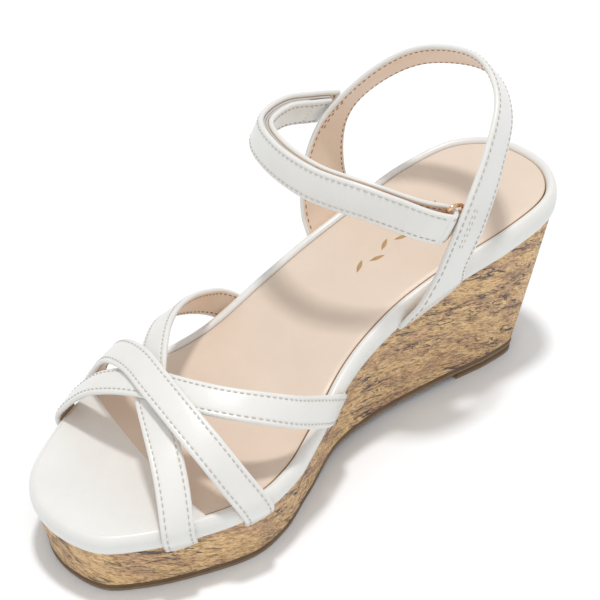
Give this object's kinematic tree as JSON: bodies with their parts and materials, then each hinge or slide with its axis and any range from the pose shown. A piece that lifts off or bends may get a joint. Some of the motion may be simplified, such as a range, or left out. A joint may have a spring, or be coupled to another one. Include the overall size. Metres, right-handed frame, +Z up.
{
  "type": "wedge sandal",
  "caption": "Child's open-toe wedge sandal: cork-covered wedge, padded footbed, crossing vamp straps, heel strap and ankle strap with hook-and-loop flap through a ring.",
  "frame": {"origin": "on the floor, under the middle of the heel, on the heel lift's bearing face", "axes": "+Z up, toe towards -Y, heel towards +Y, inner (medial) side of the right foot towards +X"},
  "size_m": [0.0949, 0.2008, 0.107],
  "materials": {
    "white_upper": "smooth white coated upper with a fine grain, folded edges, satin",
    "sock_lining": "smooth beige sock, satin",
    "strap_lining": "tan beige strap lining, satin",
    "cork": "cork sheet with brown patches and dark flecks, matt",
    "brown_rubber": "brown outsole rubber, matt",
    "sole_foam": "closed-cell sole foam, hidden",
    "fibre_board": "pressed fibre board, hidden",
    "latex_foam": "soft latex foam, hidden",
    "steel": "plain steel, hidden",
    "rose_gold": "polished rose-gold plated wire",
    "gold_foil": "stamped gold foil",
    "closure_tape": "woven white hook and loop tape"
  },
  "bodies": {
    "sole": {"outsole": "brown_rubber", "heel_lift": "brown_rubber", "wedge_core": "sole_foam", "cork_wrap": "cork", "shank": "steel", "insole_board": "fibre_board", "shank_rivet_front": "steel", "shank_rivet_rear": "steel", "latex_pad": "latex_foam", "sock": "sock_lining", "rim_binding": "white_upper", "foil_ornament": "gold_foil", "vamp_strap_a_cover": "white_upper", "vamp_strap_a_lining": "strap_lining", "vamp_strap_b_cover": "white_upper", "vamp_strap_b_lining": "strap_lining", "vamp_strap_c_cover": "white_upper", "vamp_strap_c_lining": "strap_lining"},
    "heel_strap": {"heel_strap_cover": "white_upper", "heel_strap_lining": "strap_lining", "ankle_strap_cover": "white_upper", "ankle_strap_lining": "strap_lining", "loop_tape": "closure_tape", "ring_tab": "white_upper"},
    "ring": {"strap_ring": "rose_gold"},
    "strap_flap": {"flap_cover": "white_upper", "flap_lining": "strap_lining", "hook_tape": "closure_tape"}
  },
  "joints": [
    {"name": "heel_strap_flex", "type": "hinge", "parent": "sole", "child": "heel_strap", "pos_m": [0, -0.033, 0.0435], "axis": [1, 0, 0], "range_deg": [-22, 18]},
    {"name": "ring_swivel", "type": "hinge", "parent": "heel_strap", "child": "ring", "pos_m": [0.028, -0.02924, 0.07117], "axis": [0.2624, 0.3168, 0.9115], "range_deg": [-7, 7]},
    {"name": "strap_peel", "type": "hinge", "parent": "heel_strap", "child": "strap_flap", "pos_m": [0.02814, -0.03549, 0.0733], "axis": [0.2624, 0.3168, 0.9115], "range_deg": [0, 82]}
  ]
}
